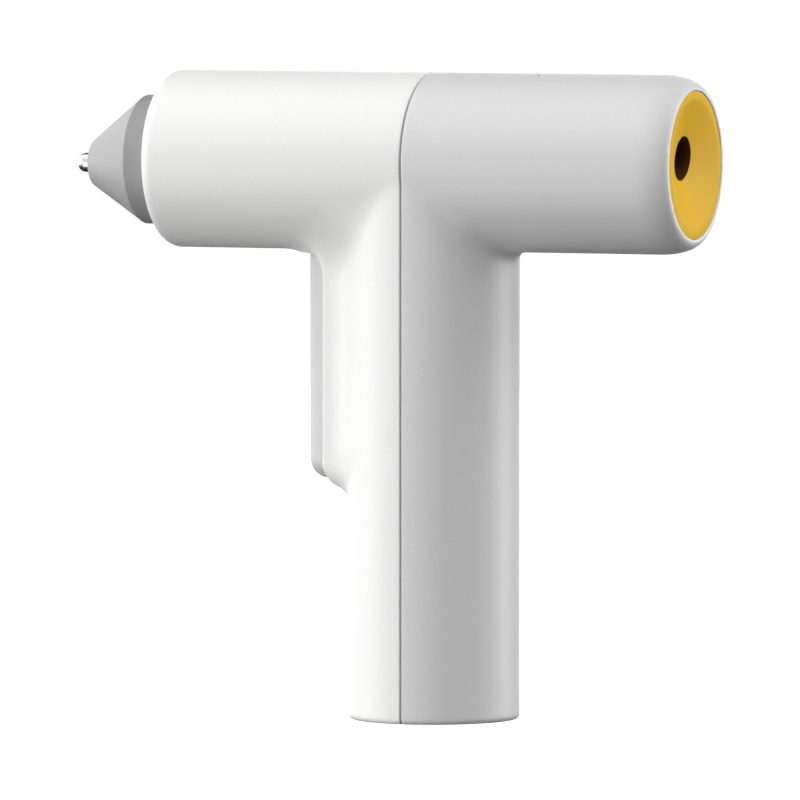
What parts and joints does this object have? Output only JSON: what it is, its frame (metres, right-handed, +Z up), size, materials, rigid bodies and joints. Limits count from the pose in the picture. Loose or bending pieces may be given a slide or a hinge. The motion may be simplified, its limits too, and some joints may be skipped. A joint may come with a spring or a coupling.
{
  "type": "glue gun",
  "caption": "Cordless hot-melt glue gun with a round barrel on an upright oval handle, a squeeze trigger, a cone nose with a steel nozzle and a dished stick inlet.",
  "frame": {"origin": "middle of the handle's flat base, which is the face that the gun stands on", "axes": "+Z up along the handle, nozzle towards -X, stick inlet towards +X, Y across the gun"},
  "size_m": [0.1417, 0.038, 0.1377],
  "materials": {
    "white_shell": "fine satin texture",
    "grey_shell": "fine satin texture",
    "nose_ring": "satin",
    "nose_cone": "satin",
    "chrome": "polished",
    "steel": "plain",
    "aluminium": "turned",
    "ceramic": "matt fired ceramic",
    "mica": "smooth sheet",
    "silicone": "soft",
    "yellow_plastic": "satin",
    "black_plastic": "matt",
    "inner_plastic": "plain",
    "cell_sleeve": "shrink sleeve on a metal can",
    "nickel": "plated",
    "circuit_board": "solder mask",
    "red_wire": "insulation",
    "black_wire": "insulation"
  },
  "bodies": {
    "housing": {"front_shell": "white_shell", "rear_shell": "grey_shell", "base_cap": "grey_shell", "base_screw_1": "steel", "base_screw_2": "steel", "nose_ring": "nose_ring", "nose_cone": "nose_cone", "nozzle": "chrome", "nozzle_spring": "steel", "melt_chamber": "aluminium", "heater_plate": "ceramic", "heater_clamp": "steel", "thermistor": "ceramic", "heat_sleeve": "mica", "front_collar": "ceramic", "rear_collar": "ceramic", "inlet_seal": "silicone", "stick_funnel": "yellow_plastic", "lever_pin": "steel", "trigger_spring": "steel", "chassis_left": "inner_plastic", "chassis_right": "inner_plastic", "chassis_screw_1": "steel", "chassis_screw_2": "steel", "chassis_screw_3": "steel", "battery_cell": "cell_sleeve", "cell_seat": "black_plastic", "cell_cap": "black_plastic", "cell_contact_bottom": "nickel", "cell_contact_top": "nickel", "main_pcb": "circuit_board", "usb_port": "nickel", "heater_wire_a": "red_wire", "heater_wire_b": "black_wire", "tact_switch": "steel", "button_board": "circuit_board"},
    "trigger_body": {"trigger": "white_shell"},
    "lever_body": {"drive_lever": "black_plastic"},
    "carriage_body": {"feed_carriage": "black_plastic", "jaw_pin": "steel"},
    "jaw_body": {"clamp_jaw": "steel"},
    "button_body": {"power_button": "grey_shell", "switch_plunger": "black_plastic"},
    "ball_body": {"nozzle_ball": "steel"}
  },
  "joints": [
    {"name": "trigger_slide", "type": "slide", "parent": "housing", "child": "trigger_body", "axis": [1, 0, 0], "range_m": [0, 0.005], "stiffness_N_per_m": 600, "springref_m": -0.003, "deforming": ["trigger_spring"]},
    {"name": "lever_rock", "type": "hinge", "parent": "housing", "child": "lever_body", "pos_m": [-0.003, 0, 0.104], "axis": [0, -1, 0], "range_deg": [0, 24]},
    {"name": "carriage_slide", "type": "slide", "parent": "housing", "child": "carriage_body", "axis": [-0.9998, 0, -0.0185], "range_m": [0, 0.0066]},
    {"name": "jaw_bite", "type": "hinge", "parent": "carriage_body", "child": "jaw_body", "pos_m": [-0.00465, 0, 0.12715], "axis": [0, 1, 0], "range_deg": [0, 8]},
    {"name": "button_press", "type": "slide", "parent": "housing", "child": "button_body", "axis": [0, 0, -1], "range_m": [0, 0.0008], "stiffness_N_per_m": 1200, "springref_m": -0.0005},
    {"name": "ball_lift", "type": "slide", "parent": "housing", "child": "ball_body", "axis": [-0.9998, 0, -0.0185], "range_m": [0, 0.0008], "stiffness_N_per_m": 300, "springref_m": -0.0005, "deforming": ["nozzle_spring"]}
  ],
  "couplings": [
    {"joint": "lever_rock", "follows": "trigger_slide", "rad_per_m": 83.333},
    {"joint": "carriage_slide", "follows": "trigger_slide", "ratio": 1.3},
    {"joint": "jaw_bite", "follows": "trigger_slide", "rad_per_m": 27.5}
  ]
}
